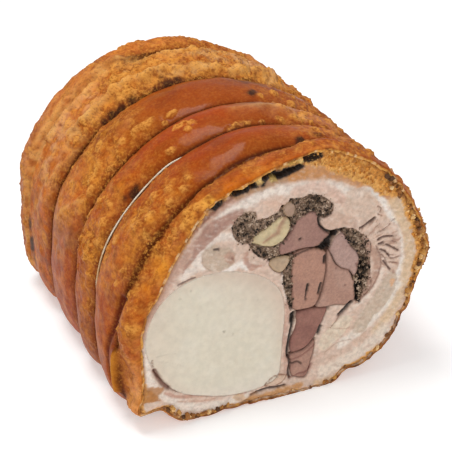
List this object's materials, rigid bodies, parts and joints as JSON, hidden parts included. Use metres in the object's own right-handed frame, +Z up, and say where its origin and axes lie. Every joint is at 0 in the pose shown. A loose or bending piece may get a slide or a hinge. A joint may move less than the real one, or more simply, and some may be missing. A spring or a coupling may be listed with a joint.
{
  "type": "porchetta",
  "caption": "Tied and roasted pork roll cut straight across, with banded crackling round fat and belly meat, a round loin, livers, herb stuffing and garlic.",
  "frame": {"origin": "centre of the bounding box at its base, on the floor the roll rests on", "axes": "+Z up; the roll's axis lies along Y with the cut face towards -Y; the loin lies on the -X side"},
  "size_m": [0.2133, 0.2126, 0.1766],
  "materials": {
    "crackling": "roasted amber and red-brown rind, glossy and blistered, over white fat and pale belly meat",
    "pale_roast_meat": "pale greyish cream roast loin with fine fibres, matt",
    "liver": "dull pinkish brown cooked liver, smooth",
    "pale_liver": "dull greyish pink cooked lobe, smooth",
    "chopped_herbs": "crumbly dark olive, black and beige chopped herbs and pepper, matt",
    "garlic": "cooked creamy garlic, satin",
    "twine": "twisted cream cotton, stained by fat"
  },
  "bodies": {
    "root": {"rolled_pork": "crackling", "loin": "pale_roast_meat", "liver_top": "liver", "liver_left": "liver", "liver_right": "liver", "liver_pale": "pale_liver", "liver_low": "liver", "liver_tail": "liver", "garlic_clove_large": "garlic", "garlic_clove_small": "garlic", "garlic_clove_brown": "garlic", "herb_stuffing_left": "chopped_herbs", "herb_stuffing_top": "chopped_herbs", "herb_stuffing_middle": "chopped_herbs", "herb_stuffing_right": "chopped_herbs", "twine": "twine"}
  },
  "joints": []
}
